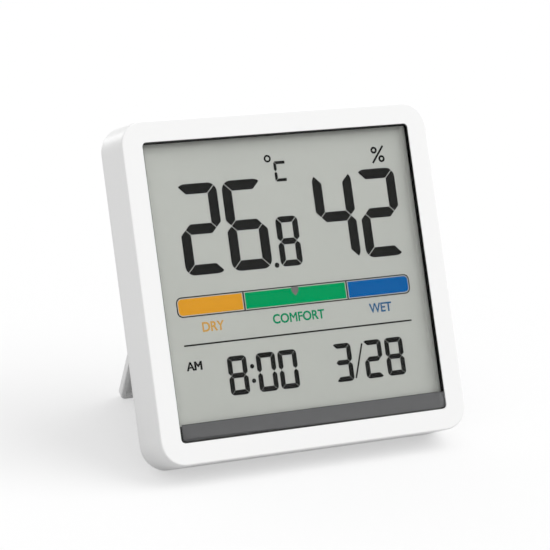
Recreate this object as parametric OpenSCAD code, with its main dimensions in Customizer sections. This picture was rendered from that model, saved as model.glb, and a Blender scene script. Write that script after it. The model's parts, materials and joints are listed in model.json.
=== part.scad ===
// Desk thermometer and hygrometer with a segment display and a fold-out stand.
// Millimetres. The device is drawn lying on its back: X to the right, Y up the face,
// Z from the back plane to the front. posed() then leans it back on the open stand,
// with +Z up, the front facing -Y and the origin on the table under its middle.

/* [Body] */
// Width of the front face
body_w = 75; // [73:0.5:90]
// Height of the front face
body_h = 75; // [73:0.5:90]
// Depth from the front face to the back plane
body_d = 11.8; // [11:0.1:14]
// How much each side wall spreads from front to back
side_flare = 0.55; // [0.2:0.05:0.8]
// Radius of the outline's corners at the front
corner_r = 5.5; // [4:0.25:9]
// Rounding of the front edge
front_edge_r = 0.35; // [0.2:0.05:0.8]
// Rounding of the back edge
back_edge_r = 0.8; // [0.7:0.05:1]
// Thickness of the side walls at the front
wall = 1.6; // [1.4:0.1:2]
// Depth of the flat that the table cuts off the lower back edge
rest_cut = 0.5; // [0.45:0.05:0.7]

/* [Display] */
// Width of the bezel round the lens
bezel_w = 4.75; // [4.4:0.05:7]
// Radius of the bezel opening's corners
window_r = 1; // [0.5:0.1:2]
// Gap between the lens and the bezel
lens_gap = 0.1; // [0.05:0.05:0.2]
// Thickness of the lens
lens_t = 0.8; // [0.6:0.1:1.2]
// How far the lens sits below the front face
lens_sink = 0.05; // [0:0.05:0.2]
// Width of the black glue line that shows round the display
adhesive_w = 0.35; // [0.3:0.05:1]
// Thickness of the glue line
adhesive_t = 0.15; // [0.12:0.01:0.25]
// Height of the printed strip along the lens's lower edge
mask_h = 3.8; // [3:0.1:5]
// Thickness of the printed strip
mask_t = 0.08; // [0.05:0.01:0.1]
// Distance of the printed strip's left end from the lens's edge
mask_inset = 0.75; // [0.3:0.05:1.5]
// Distance of the printed strip from the lens's lower edge
mask_rise = 0.3; // [0.1:0.05:0.6]
// How far the printed strip laps over the shroud's lower edge
mask_lap = 0.2; // [0.1:0.05:0.5]
// Thickness of the shroud's front plate
shroud_t = 1; // [0.8:0.1:1.4]
// How much each side of the shroud's window widens towards the display
window_flare = 0.5; // [0.2:0.05:0.6]
// Gap between the shroud and the side walls
shroud_gap = 0.1; // [0.05:0.05:0.2]
// How far the shroud reaches past the back of the display
shroud_skirt = 0.6; // [0.4:0.1:1]
// How far the display reaches under the shroud's plate
lcd_lap = 1; // [0.7:0.1:1.2]
// Gap between the display and the shroud's skirt
lcd_gap = 0.1; // [0.05:0.05:0.2]
// Thickness of each display glass
glass_t = 0.55; // [0.4:0.05:0.7]
// Thickness of each polarizer
polarizer_t = 0.2; // [0.15:0.05:0.25]
// How far each polarizer stays inside the glass
polarizer_inset = 0.4; // [0.2:0.1:0.6]
// Height of the contact ledge along the display's lower edge
ledge_h = 3.2; // [2.8:0.1:3.6]

/* [Rear cover] */
// Thickness of the rear cover's plate
cover_t = 1.2; // [1.2:0.1:1.5]
// Seam between the housing and the rear cover
seam = 0.05; // [0.02:0.01:0.1]
// Thickness of the rim that locates the rear cover
rim_t = 1.2; // [1:0.1:1.5]
// Gap between that rim and the housing or the shroud
rim_gap = 0.1; // [0.05:0.05:0.2]
// Thickness of the recess's floor and walls
floor_t = 1; // [0.8:0.1:1.2]
// Width of a snap hook
snap_w = 8; // [5:0.5:12]
// How far a snap hook stands out of the rim
snap_out = 0.5; // [0.3:0.05:0.7]
// Height of a snap hook
snap_h = 1; // [0.8:0.1:1.4]
// Clearance of a snap hook in its slot
snap_gap = 0.15; // [0.1:0.05:0.2]
// Height of the snap hooks above the rear cover's plate
snap_up = 1.8; // [1.5:0.1:2.2]
// Distance of the snap hooks from the middle of each side
snap_reach = 18; // [12:0.5:22]
// Number of vent slots beside the sensor
vent_count = 5; // [3:1:7]
// Width of a vent slot
vent_w = 1; // [0.6:0.1:1.4]
// Distance between vent slots
vent_pitch = 2; // [1.8:0.1:2.5]
// Height of the vents and the sensor above the lower edge
vent_up = 29; // [24:0.5:36]
// Distance of the vents' ends from the recess's wall and the rim
vent_gap = 0.9; // [0.6:0.05:1.4]
// Radius of the thumb scoop beside the stand
scoop_r = 5.5; // [4:0.5:6]
// Depth of the thumb scoop
scoop_d = 1.7; // [1.2:0.1:2]
// Height of the thumb scoop above the lower edge
scoop_up = 19; // [18.5:0.5:26]

/* [Stand] */
// Width of the stand
stand_w = 53; // [40:0.5:53.5]
// Length from the hinge axis to the foot
stand_l = 52.7; // [46:0.1:52.8]
// Thickness of the stand
stand_t = 2; // [1.8:0.1:2.2]
// Opening angle of the stand from the back
stand_angle = 46.5; // [35:0.5:50]
// Height of the hinge axis above the middle of the face
hinge_up = 16.5; // [16.4:0.1:18.5]
// Width of the stand's raised rim
stand_rim = 1.1; // [0.8:0.1:1.6]
// Thickness of the stand's panel inside the rim
stand_panel = 0.6; // [0.6:0.1:1.2]
// Length of the solid land below the hinge
stand_land = 3.5; // [2.5:0.5:8]
// Radius of the foot's corners
stand_corner_r = 1.5; // [0.5:0.1:3]
// Rounding of the stand's outer edges
stand_edge_r = 0.35; // [0.2:0.05:0.45]
// Depth of the flat that the table cuts off the foot
foot_cut = 0.2; // [0.2:0.05:0.6]
// Radius of the pivots
pivot_r = 0.75; // [0.6:0.05:0.8]
// Length of each pivot in its socket
pivot_l = 1.5; // [1:0.1:1.8]
// Running clearance of the pivots
pivot_gap = 0.05; // [0.02:0.01:0.1]
// Gap between the folded stand and the recess's sides
stand_side_gap = 0.35; // [0.25:0.05:0.5]
// Gap between the folded stand's foot and the recess's end
stand_end_gap = 0.4; // [0.3:0.05:0.5]
// Gap between the folded stand and the recess's floor
stand_gap = 0.15; // [0.1:0.05:0.3]
// Length of the stop tabs past the hinge axis
tab_l = 1.4; // [1.2:0.1:1.8]
// Width of a stop tab
tab_w = 6; // [4:0.5:8]
// Distance of the stop tabs from the middle
tab_reach = 17; // [10:0.5:19]
// Gap left at the stop when the stand is open
stop_gap = 0.03; // [0.02:0.01:0.05]

/* [Battery] */
// Diameter of the coin cell
cell_d = 20; // [16:0.5:22]
// Thickness of the coin cell
cell_t = 3.2; // [2.5:0.1:3.25]
// Gap between the cell and what is round it
cell_gap = 0.05; // [0.03:0.01:0.1]
// Height of the cell's centre above the lower edge
cell_up = 27; // [26:0.5:32]
// How much wider the hatch is than the cell, on each side
hatch_lap = 2; // [1.6:0.1:2.5]
// Running clearance of the hatch
hatch_gap = 0.1; // [0.05:0.01:0.1]
// Angle from the locked to the open hatch
hatch_turn = 35; // [30:1:45]
// How far each lug reaches under the floor
lug_reach = 1.2; // [0.8:0.1:1.4]
// Angle that each lug spans
lug_span = 26; // [20:1:28]
// Thickness of the lugs
lug_t = 0.8; // [0.6:0.05:0.9]
// Angle by which each entry in the floor is wider than its lug
entry_gap = 2; // [1:0.5:4]
// Gap between the lugs and the wall round the cell
ring_gap = 0.25; // [0.15:0.05:0.4]
// Gap between that wall and the board
ring_top_gap = 0.1; // [0.05:0.05:0.3]
// Length of the coin slot in the hatch
slot_l = 13; // [8:0.5:15]
// Width of the coin slot
slot_w = 1.8; // [1.2:0.1:2.4]
// Depth of the coin slot
slot_d = 0.5; // [0.3:0.05:0.6]
// Height of the step round the cell's cap
cap_h = 0.6; // [0.4:0.05:0.9]
// Width of that step
cap_inset = 1.2; // [0.8:0.1:2]
// Thickness of the contact springs
contact_t = 0.2; // [0.15:0.05:0.25]
// Width of the negative spring
contact_w = 5; // [3:0.5:7]
// How far the negative spring reaches past the cell at each end
leaf_reach = 3; // [2:0.25:4]
// Radius of the dimple that presses on the cell
dimple_r = 2; // [1:0.1:2.4]
// Angle that the positive clip spans round the cell
clip_span = 110; // [80:5:130]
// Angle that each foot of the clip spans
foot_span = 14; // [10:1:20]
// Width of the clip's feet
foot_w = 2; // [1.5:0.1:2.5]

/* [Board] */
// Thickness of the circuit board
board_t = 1; // [0.8:0.1:1.2]
// Space between the recess's floor and the board
board_space = 2.35; // [2.3:0.05:2.7]
// Distance of the board from the rim at the top and the sides
board_margin = 0.6; // [0.4:0.1:1.2]
// Distance of the board from the rim at the bottom
board_margin_low = 1; // [0.5:0.1:1.2]
// Radius of the board's corners
board_r = 3; // [2.5:0.25:5]
// Radius of the board's posts
post_r = 2; // [1.8:0.1:2.2]
// Distance of the upper posts from the board's edge
post_inset = 3; // [2.8:0.1:4]
// Distance of the posts from the recess's sides
post_gap = 0.1; // [0.1:0.05:0.5]
// Radius of the board screws' shanks
screw_r = 0.7; // [0.5:0.05:0.8]
// Radius of the board screws' heads
screw_head_r = 1.4; // [1.2:0.1:1.6]
// Height of the board screws' heads
screw_head_h = 0.6; // [0.4:0.05:0.7]
// Length of the board screws below the head
screw_l = 3.6; // [3:0.1:4]
// Clearance of the screws in the board and the posts
screw_gap = 0.05; // [0.02:0.01:0.1]
// Length of the cross in a screw's head
cross_l = 1.7; // [1.2:0.1:2]
// Width of the cross's slots
cross_w = 0.3; // [0.2:0.05:0.4]
// Depth of the cross
cross_d = 0.3; // [0.15:0.05:0.35]
// Width of the zebra connector
zebra_w = 2; // [1.6:0.1:2.2]
// Distance of the zebra connector's ends from the display's corners
zebra_inset = 4; // [3:0.5:8]
// Gap between the zebra connector and the lower screws' heads
zebra_gap = 0.6; // [0.3:0.1:1]
// Radius of the epoxy glob over the controller
glob_r = 4.2; // [3:0.1:4.5]
// Height of the epoxy glob
glob_h = 1.3; // [0.8:0.1:1.6]
// Distance of the glob from the middle
glob_reach = 12.6; // [9:0.2:16]
// Radius of the crystal's can
can_r = 1; // [0.75:0.05:1.1]
// Length of the crystal's can
can_l = 6; // [4:0.25:8]
// Radius of the crystal's leads
lead_r = 0.15; // [0.1:0.05:0.2]
// Length of the crystal's leads
lead_l = 1.6; // [1:0.1:2]
// Side of the humidity sensor
sensor_w = 2.5; // [2:0.1:3]
// Height of the humidity sensor
sensor_h = 0.9; // [0.7:0.05:1.1]
// Radius of the port in the humidity sensor
port_r = 0.6; // [0.4:0.05:0.8]
// Depth of that port
port_d = 0.2; // [0.1:0.05:0.4]
// Number of small components in a row
chip_count = 4; // [2:1:5]
// Length of a small component
chip_l = 1.6; // [1:0.1:2]
// Width of a small component
chip_w = 0.8; // [0.5:0.1:1.2]
// Height of a small component
chip_h = 0.45; // [0.3:0.05:0.8]
// Distance between components in a row
chip_pitch = 2.6; // [2:0.1:3]
// Distance between the two rows of components
chip_rows = 3.2; // [2.6:0.1:5]
// Distance of the first component from the board's edge
chip_inset = 10.4; // [9.6:0.2:12]

/* [Buttons] */
// Width of a button
button_w = 9; // [7:0.5:11]
// Height of a button
button_h = 4.5; // [4:0.1:5.5]
// Distance between buttons
button_pitch = 14; // [13:0.5:16]
// Distance of the buttons below the upper edge
button_drop = 10; // [8.5:0.25:10.5]
// How far a button stands out of the back
button_proud = 0.4; // [0.3:0.05:0.8]
// Rounding of a button's outer edge
button_edge_r = 0.3; // [0.15:0.05:0.4]
// Travel of a button
button_travel = 0.35; // [0.25:0.05:0.5]
// Gap between a button and its hole
button_gap = 0.15; // [0.1:0.01:0.25]
// How far a button's flange reaches past its hole
flange_lap = 0.6; // [0.4:0.05:0.8]
// Thickness of a button's flange
flange_t = 0.6; // [0.5:0.05:0.8]
// Gap between a button's flange and the rear cover's plate
flange_gap = 0.1; // [0.05:0.05:0.2]
// Gap left between a pressed button and its switch
press_gap = 0.1; // [0.05:0.05:0.2]
// Wall of the collar that guides a button
collar_t = 0.9; // [0.6:0.1:1.2]
// Width of a tact switch
switch_w = 4.2; // [3.5:0.1:5]
// Depth of a tact switch's body
switch_d = 3.2; // [2.8:0.1:4]
// Height of a tact switch's body
switch_h = 1.3; // [1:0.1:1.5]
// Radius of a tact switch's plunger
plunger_r = 0.9; // [0.7:0.05:1.1]
// Height of a tact switch's plunger
plunger_h = 0.4; // [0.3:0.05:0.5]

/* [Hidden] */
$fn = 64;
// Reach of cuts that run out of the part, and of half-spaces
over = 1;
far = 400;
// How far the sloped sides dip into their edge rounds, so that they cross them cleanly
dip = 0.002;

// Outline of the body: corner centres and the slope of the side walls
corner_x = body_w / 2 - corner_r;
corner_y = body_h / 2 - corner_r;
slope = atan(side_flare / body_d);
back_r = corner_r + side_flare;
back_half_h = body_h / 2 + side_flare;
// Hollow of the housing
hollow_w = body_w - 2 * wall;
hollow_h = body_h - 2 * wall;
hollow_r = corner_r - wall;
// Window, lens and what shows through them
window_w = body_w - 2 * bezel_w;
window_h = body_h - 2 * bezel_w;
lens_w = window_w - 2 * lens_gap;
lens_h = window_h - 2 * lens_gap;
view_w = lens_w - 2 * adhesive_w;
view_h = lens_h - 2 * adhesive_w;
mask_top = mask_h - lens_h / 2;
// Display stack, from the front backwards
lens_back = body_d - lens_sink - lens_t;
shroud_front = lens_back - adhesive_t;
lcd_front = shroud_front - shroud_t;
front_glass_z = lcd_front - polarizer_t - glass_t;
rear_glass_z = front_glass_z - glass_t;
lcd_back = rear_glass_z - polarizer_t;
shroud_back = lcd_back - shroud_skirt;
lcd_w = view_w + 2 * lcd_lap;
lcd_h = view_h + 2 * lcd_lap;
lcd_low = -lcd_h / 2;
shroud_low = mask_top - mask_lap;
// Stand and its recess
hinge_z = stand_t / 2;
recess_d = stand_t + stand_gap;
floor_z = recess_d + floor_t;
recess_w = stand_w + 2 * stand_side_gap;
recess_top = hinge_up + tab_l + stand_side_gap;
recess_low = hinge_up - stand_l - stand_end_gap;
stop_r = norm([tab_l, hinge_z]) + stand_side_gap;
// Board, battery and buttons, from the rear cover forwards
board_back = floor_z + board_space;
board_front = board_back + board_t;
board_w = hollow_w - 2 * (rim_gap + rim_t + board_margin);
board_top = hollow_h / 2 - rim_gap - rim_t - board_margin;
board_low = rim_gap + rim_t + board_margin_low - hollow_h / 2;
cell_y = cell_up - body_h / 2;
cell_back = floor_z + cell_gap;
cell_front = cell_back + cell_t;
hatch_r = cell_d / 2 + hatch_lap;
lug_r = hatch_r + lug_reach;
ring_r = lug_r + ring_gap;
zebra_low = lcd_low + (ledge_h - zebra_w) / 2;
post_x = recess_w / 2 + post_r + post_gap;
post_ys = [board_top - post_inset, zebra_low + zebra_w + zebra_gap + screw_head_r];
// Middle of the strip of board between the stand's hinge and the battery
parts_y = (recess_top + cell_y + lug_r) / 2;
button_y = body_h / 2 - button_drop;
flange_z = cover_t + flange_gap;
stem_end = board_back - switch_h - plunger_h - button_travel - press_gap;
vent_low = recess_w / 2 + floor_t + vent_gap;
vent_high = hollow_w / 2 - rim_gap - rim_t - vent_gap;
vent_l = vent_high - vent_low;
vent_x = -(vent_low + vent_high) / 2;
vent_y = vent_up - body_h / 2;
scoop_y = scoop_up - body_h / 2;
// Radius of the ball whose cap makes the thumb scoop
dish_r = (scoop_r * scoop_r + scoop_d * scoop_d) / (2 * scoop_d);

// Lean of the body, from the flats on its lower back edge and on the open stand's foot
foot_y = hinge_up - stand_l * cos(stand_angle) - hinge_z * sin(stand_angle);
foot_z = hinge_z - stand_l * sin(stand_angle) + hinge_z * cos(stand_angle);
rest_l = norm([foot_y + back_half_h, foot_z]);
lean = atan((foot_y + back_half_h) / -foot_z) - asin((rest_cut - foot_cut) / rest_l);
seat_z = back_half_h * cos(lean) - rest_cut;
heel_y = foot_y + stand_t * sin(stand_angle);
heel_z = foot_z - stand_t * cos(stand_angle);
reach_back = heel_y * sin(lean) - heel_z * cos(lean);
reach_front = -(body_h / 2 - front_edge_r) * sin(lean) - (body_d - front_edge_r) * cos(lean) - front_edge_r;
seat_y = -(reach_back + reach_front) / 2;

// Leans the device back on its stand
module posed() {
    translate([0, seat_y, seat_z]) rotate([90 - lean, 0, 0]) children();
}

// Swings the folded stand open about its hinge
module opened() {
    translate([0, hinge_up, hinge_z]) rotate([stand_angle, 0, 0])
        translate([0, -hinge_up, -hinge_z]) children();
}

// Everything below the table
module below_table() {
    translate([-far / 2, -far / 2, -far]) cube(far);
}

module rounded_outline(w, h, r) {
    square([w - 2 * r, h], center = true);
    square([w, h - 2 * r], center = true);
    for (x = [-1, 1], y = [-1, 1]) translate([x * (w / 2 - r), y * (h / 2 - r)]) circle(r);
}

module plate(w, h, r, z0, z1) {
    translate([0, 0, z0]) linear_extrude(z1 - z0) rounded_outline(w, h, r);
}

// Flat-sided plate between two heights, from its lower left to its upper right corner
module slab(x0, y0, x1, y1, z0, z1) {
    translate([x0, y0, z0]) cube([x1 - x0, y1 - y0, z1 - z0]);
}

// Slot with round ends, along X
module stadium(l, w) {
    square([l - w, w], center = true);
    for (x = [-1, 1]) translate([x * (l - w) / 2, 0]) circle(w / 2);
}

// Half of a rounded rectangle, from the axis outwards: the section of a soft-edged plate
module edge_section(reach, t, r) {
    intersection() {
        translate([0, t / 2]) rounded_outline(2 * reach, t, r);
        square([reach, t]);
    }
}

// Slot-shaped block along X with soft edges
module soft_stadium(l, w, t, r) {
    rotate([90, 0, 90]) linear_extrude(l - w, center = true)
        translate([0, t / 2]) rounded_outline(w, t, r);
    for (side = [-1, 1]) translate([side * (l - w) / 2, 0, 0]) rotate([0, 0, -side * 90])
        rotate_extrude(angle = 180) edge_section(w / 2, t, r);
}

// Ring sector round the Z axis, centred on an angle
module arc_band(r0, r1, z0, z1, span, middle) {
    rotate([0, 0, middle - span / 2]) rotate_extrude(angle = span)
        translate([r0, z0]) square([r1 - r0, z1 - z0]);
}

// Section of a side wall from the corner centre outwards: sloped face, rounded at both ends
module wall_section() {
    back_x = back_r - back_edge_r * (tan(slope) + 1 / cos(slope));
    front_z = body_d - front_edge_r;
    front_x = back_r - front_z * tan(slope) - front_edge_r / cos(slope);
    back_in = back_edge_r - dip;
    front_in = front_edge_r - dip;
    polygon([
        [0, 0],
        [back_x, 0],
        [back_x + back_in * cos(slope), back_edge_r + back_in * sin(slope)],
        [front_x + front_in * cos(slope), front_z + front_in * sin(slope)],
        [front_x, body_d],
        [0, body_d]
    ]);
    translate([back_x, back_edge_r]) circle(back_edge_r);
    translate([front_x, front_z]) circle(front_edge_r);
}

// Full section across the body between two opposite walls
module body_section(half) {
    translate([-half, 0]) square([2 * half, body_d]);
    for (m = [0, 1]) mirror([m, 0]) translate([half, 0]) wall_section();
}

// Outer form of the closed body: both sections swept, and the section turned round each corner
module envelope() {
    rotate([90, 0, 0]) linear_extrude(2 * corner_y, center = true) body_section(corner_x);
    rotate([90, 0, 90]) linear_extrude(2 * corner_x, center = true) body_section(corner_y);
    for (m = [0, 1], n = [0, 1]) mirror([m, 0]) mirror([0, n])
        translate([corner_x, corner_y]) rotate_extrude(angle = 90) wall_section();
}

// Places its child at each snap hook, with +X pointing out of the rim
module at_snaps() {
    for (side = [-1, 1], s = [-1, 1]) {
        translate([side * (hollow_w / 2 - rim_gap), s * snap_reach, 0])
            rotate([0, 0, side > 0 ? 0 : 180]) children();
        translate([s * snap_reach, side * (hollow_h / 2 - rim_gap), 0])
            rotate([0, 0, side * 90]) children();
    }
}

module snap_hook() {
    translate([0, snap_w / 2, cover_t + snap_up]) rotate([90, 0, 0]) linear_extrude(snap_w)
        polygon([[0, 0], [snap_out, 0], [0, snap_h]]);
}

module snap_slot() {
    slab(0, -snap_w / 2 - snap_gap, rim_gap + snap_out, snap_w / 2 + snap_gap,
         cover_t + snap_up - snap_gap, cover_t + snap_up + snap_h);
}

module front_housing() {
    color("white") difference() {
        posed() difference() {
            intersection() {
                envelope();
                slab(-far / 2, -far / 2, far / 2, far / 2, cover_t + seam, far);
            }
            plate(hollow_w, hollow_h, hollow_r, 0, shroud_front);
            plate(window_w, window_h, window_r, 0, body_d + over);
            at_snaps() snap_slot();
            // Relief behind the folded stand's foot
            slab(-recess_w / 2, recess_low, recess_w / 2, 0, 0, recess_d);
        }
        below_table();
    }
}

// Walls, posts and sockets that stand inside the rear cover
module cover_inside() {
    difference() {
        plate(hollow_w - 2 * rim_gap, hollow_h - 2 * rim_gap, hollow_r - rim_gap,
              cover_t / 2, shroud_back - rim_gap);
        plate(hollow_w - 2 * (rim_gap + rim_t), hollow_h - 2 * (rim_gap + rim_t),
              hollow_r - rim_gap - rim_t, 0, body_d);
    }
    at_snaps() snap_hook();
    slab(-recess_w / 2 - floor_t, max(recess_low - floor_t, rim_gap - hollow_h / 2),
         recess_w / 2 + floor_t, recess_top + floor_t, cover_t / 2, floor_z);
    for (x = [-1, 1], y = post_ys) translate([x * post_x, y, cover_t / 2])
        cylinder(r = post_r, h = board_back - cover_t / 2);
    for (x = [-1, 1]) translate([x * (recess_w + pivot_l) / 2, hinge_up, 0])
        slab(-pivot_l / 2 - floor_t, -pivot_r - floor_t, pivot_l / 2 + floor_t, pivot_r + floor_t,
             cover_t / 2, floor_z);
    for (x = [-1, 1]) translate([x * tab_reach, hinge_up, 0]) intersection() {
        translate([0, 0, hinge_z]) rotate([0, 90, 0])
            cylinder(r = stop_r + floor_t, h = tab_w + 2 * floor_t, center = true);
        slab(-far, -far, far, far, cover_t / 2, far);
    }
    translate([recess_w / 2, scoop_y, cover_t / 2])
        cylinder(r = scoop_r + floor_t, h = scoop_d + floor_t - cover_t / 2);
    for (i = [-1, 0, 1]) translate([i * button_pitch, button_y, cover_t / 2])
        linear_extrude(flange_z + flange_t - cover_t / 2)
            stadium(button_w + 2 * (flange_lap + button_gap + collar_t),
                    button_h + 2 * (flange_lap + button_gap + collar_t));
    translate([0, cell_y, 0]) difference() {
        cylinder(r = ring_r + floor_t, h = board_back - ring_top_gap);
        cylinder(r = ring_r, h = body_d);
    }
}

// Everything that is cut out of the rear cover
module cover_cuts() {
    slab(-recess_w / 2, recess_low, recess_w / 2, recess_top, -over, recess_d);
    translate([0, hinge_up, hinge_z]) rotate([0, 90, 0])
        cylinder(r = pivot_r + pivot_gap, h = recess_w + 2 * pivot_l + pivot_gap, center = true);
    // Pockets for the stop tabs: round, and closed by a face that meets the open tab
    for (x = [-1, 1]) translate([x * tab_reach, hinge_up, hinge_z]) intersection() {
        rotate([0, 90, 0]) cylinder(r = stop_r, h = tab_w + 2 * stand_side_gap, center = true);
        rotate([stand_angle, 0, 0]) slab(-far, -far, far, far, -far, hinge_z + stop_gap);
    }
    translate([recess_w / 2, scoop_y, scoop_d - dish_r]) sphere(dish_r);
    for (i = [-1, 0, 1]) translate([i * button_pitch, button_y, 0]) {
        translate([0, 0, -over]) linear_extrude(cover_t + 2 * over)
            stadium(button_w + 2 * button_gap, button_h + 2 * button_gap);
        translate([0, 0, cover_t]) linear_extrude(body_d)
            stadium(button_w + 2 * (flange_lap + button_gap), button_h + 2 * (flange_lap + button_gap));
    }
    translate([0, cell_y, 0]) {
        cylinder(r = hatch_r + hatch_gap, h = floor_z + over);
        for (a = [0, 180]) arc_band(hatch_r - over, lug_r + hatch_gap, 0, floor_z + over,
                                    lug_span + entry_gap, a - hatch_turn);
    }
    for (x = [-1, 1], y = post_ys) translate([x * post_x, y, board_front - screw_l - screw_gap])
        cylinder(r = screw_r + screw_gap, h = body_d);
    for (i = [0 : vent_count - 1])
        translate([vent_x, vent_y + (i - (vent_count - 1) / 2) * vent_pitch, -over])
            linear_extrude(cover_t + 2 * over) stadium(vent_l, vent_w);
}

module rear_cover() {
    color("white") difference() {
        posed() difference() {
            union() {
                intersection() {
                    envelope();
                    slab(-far / 2, -far / 2, far / 2, far / 2, -far, cover_t);
                }
                cover_inside();
            }
            cover_cuts();
        }
        below_table();
    }
}

module display_lens() {
    color([0.9, 0.92, 0.92, 0.3]) posed()
        plate(lens_w, lens_h, window_r - lens_gap, lens_back, lens_back + lens_t);
}

module mask_strip() {
    intersection() {
        plate(lens_w, lens_h, window_r - lens_gap, lens_back - mask_t, lens_back);
        translate([mask_inset, mask_rise, 0]) plate(lens_w, lens_h, window_r - lens_gap, 0, body_d);
        slab(-lens_w, -lens_h, lens_w, mask_top, 0, body_d);
    }
}

module lens_mask_strip() {
    color("dimgray") posed() mask_strip();
}

module lens_adhesive() {
    color([0.08, 0.08, 0.08]) posed() difference() {
        plate(lens_w, lens_h, window_r - lens_gap, shroud_front, lens_back);
        slab(-view_w / 2, -view_h / 2, view_w / 2, view_h / 2, 0, body_d);
        mask_strip();
    }
}

// Window of the shroud: its walls lean back out of sight, except behind the printed strip
module shroud_window() {
    wide = view_w / 2 + window_flare;
    high = view_h / 2 + window_flare;
    intersection() {
        rotate([90, 0, 0]) linear_extrude(far, center = true) polygon([
            [-wide, 0],
            [wide, 0],
            [wide, lcd_front],
            [view_w / 2, shroud_front],
            [view_w / 2, body_d],
            [-view_w / 2, body_d],
            [-view_w / 2, shroud_front],
            [-wide, lcd_front]
        ]);
        rotate([90, 0, 90]) linear_extrude(far, center = true) polygon([
            [shroud_low, 0],
            [high, 0],
            [high, lcd_front],
            [view_h / 2, shroud_front],
            [view_h / 2, body_d],
            [shroud_low, body_d]
        ]);
    }
}

module lcd_shroud() {
    color([0.1, 0.1, 0.1]) posed() difference() {
        plate(hollow_w - 2 * shroud_gap, hollow_h - 2 * shroud_gap, hollow_r - shroud_gap,
              shroud_back, shroud_front);
        shroud_window();
        slab(-lcd_w / 2 - lcd_gap, lcd_low - lcd_gap, lcd_w / 2 + lcd_gap, lcd_h / 2 + lcd_gap,
             0, lcd_front);
    }
}

// One sheet of the display stack, kept inside the glass and above a lower edge
module lcd_sheet(inset, low, z, t) {
    slab(inset - lcd_w / 2, low, lcd_w / 2 - inset, lcd_h / 2 - inset, z, z + t);
}

module lcd_front_polarizer() {
    color([0.7, 0.72, 0.69]) posed()
        lcd_sheet(polarizer_inset, lcd_low + ledge_h, lcd_front - polarizer_t, polarizer_t);
}

module lcd_front_glass() {
    color([0.75, 0.82, 0.8]) posed() lcd_sheet(0, lcd_low, front_glass_z, glass_t);
}

module lcd_rear_glass() {
    color([0.72, 0.79, 0.77]) posed() lcd_sheet(0, lcd_low + ledge_h, rear_glass_z, glass_t);
}

module lcd_rear_polarizer() {
    color([0.78, 0.78, 0.76]) posed()
        lcd_sheet(polarizer_inset, lcd_low + ledge_h + polarizer_inset, lcd_back, polarizer_t);
}

module zebra_connector() {
    color([0.85, 0.6, 0.65]) posed()
        slab(zebra_inset - lcd_w / 2, zebra_low, lcd_w / 2 - zebra_inset, zebra_low + zebra_w,
             board_front, front_glass_z);
}

module circuit_board() {
    color("darkgreen") posed() difference() {
        translate([0, (board_low + board_top) / 2, 0])
            plate(board_w, board_top - board_low, board_r, board_back, board_front);
        translate([0, cell_y, 0]) cylinder(r = cell_d / 2 + contact_t + 2 * cell_gap, h = body_d);
        for (x = [-1, 1], y = post_ys) translate([x * post_x, y, 0])
            cylinder(r = screw_r + screw_gap, h = body_d);
    }
}

module board_screws() {
    color("silver") posed() for (x = [-1, 1], y = post_ys)
        translate([x * post_x, y, board_front - screw_l]) {
            cylinder(r = screw_r, h = screw_l);
            difference() {
                translate([0, 0, screw_l]) cylinder(r = screw_head_r, h = screw_head_h);
                for (a = [0, 90]) rotate([0, 0, a])
                    slab(-cross_l / 2, -cross_w / 2, cross_l / 2, cross_w / 2,
                         screw_l + screw_head_h - cross_d, body_d);
            }
        }
}

// Glob of epoxy over the bonded chip
module controller_chip() {
    sphere_r = (glob_r * glob_r + glob_h * glob_h) / (2 * glob_h);
    color([0.06, 0.06, 0.07]) posed()
        translate([-glob_reach, parts_y, board_back]) intersection() {
            translate([0, 0, sphere_r - glob_h]) sphere(sphere_r);
            slab(-far, -far, far, far, -far, 0);
        }
}

// Watch crystal in a drawn can, lying on the board on its two leads
module clock_crystal() {
    color("silver") posed() translate([0, parts_y, board_back - can_r]) rotate([0, 90, 0]) {
        cylinder(r = can_r, h = can_l);
        for (y = [-1, 1]) translate([0, y * can_r / 2, -lead_l]) cylinder(r = lead_r, h = lead_l);
    }
}

// Square sensor package with its sensing window facing the vents
module humidity_sensor() {
    color([0.12, 0.12, 0.13]) posed()
        translate([vent_x, vent_y, board_back - sensor_h]) difference() {
            slab(-sensor_w / 2, -sensor_w / 2, sensor_w / 2, sensor_w / 2, 0, sensor_h);
            translate([0, 0, -over]) cylinder(r = port_r, h = over + port_d);
        }
}

// Small resistors and capacitors in two rows beside the chip
module board_components() {
    color("tan") posed() for (i = [0 : chip_count - 1], row = [-1, 1])
        translate([board_w / 2 - chip_inset - i * chip_pitch, parts_y + row * chip_rows / 2, 0])
            slab(-chip_w / 2, -chip_l / 2, chip_w / 2, chip_l / 2, board_back - chip_h, board_back);
}

module tact_switches() {
    color("silver") posed() for (i = [-1, 0, 1]) translate([i * button_pitch, button_y, 0]) {
        slab(-switch_w / 2, -switch_d / 2, switch_w / 2, switch_d / 2, board_back - switch_h, board_back);
        translate([0, 0, board_back - switch_h - plunger_h]) cylinder(r = plunger_r, h = plunger_h);
    }
}

// Push button: cap through the cover, flange behind it, stem towards the switch
module button(place) {
    color("white") posed() translate([place * button_pitch, button_y, 0]) {
        translate([0, 0, -button_proud])
            soft_stadium(button_w, button_h, button_proud + flange_z + flange_t / 2 + button_edge_r, button_edge_r);
        translate([0, 0, flange_z]) linear_extrude(flange_t)
            stadium(button_w + 2 * flange_lap, button_h + 2 * flange_lap);
        translate([0, 0, flange_z]) cylinder(r = plunger_r, h = stem_end - flange_z);
    }
}

module mode_button() {
    button(1);
}

module up_button() {
    button(0);
}

module down_button() {
    button(-1);
}

// Coin cell: wide can with a stepped smaller cap towards the board
module coin_cell() {
    color("silver") posed() translate([0, cell_y, 0]) {
        translate([0, 0, cell_back]) cylinder(r = cell_d / 2, h = cell_t - cap_h);
        translate([0, 0, cell_front - cap_h]) cylinder(r = cell_d / 2 - cap_inset, h = cap_h);
    }
}

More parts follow.
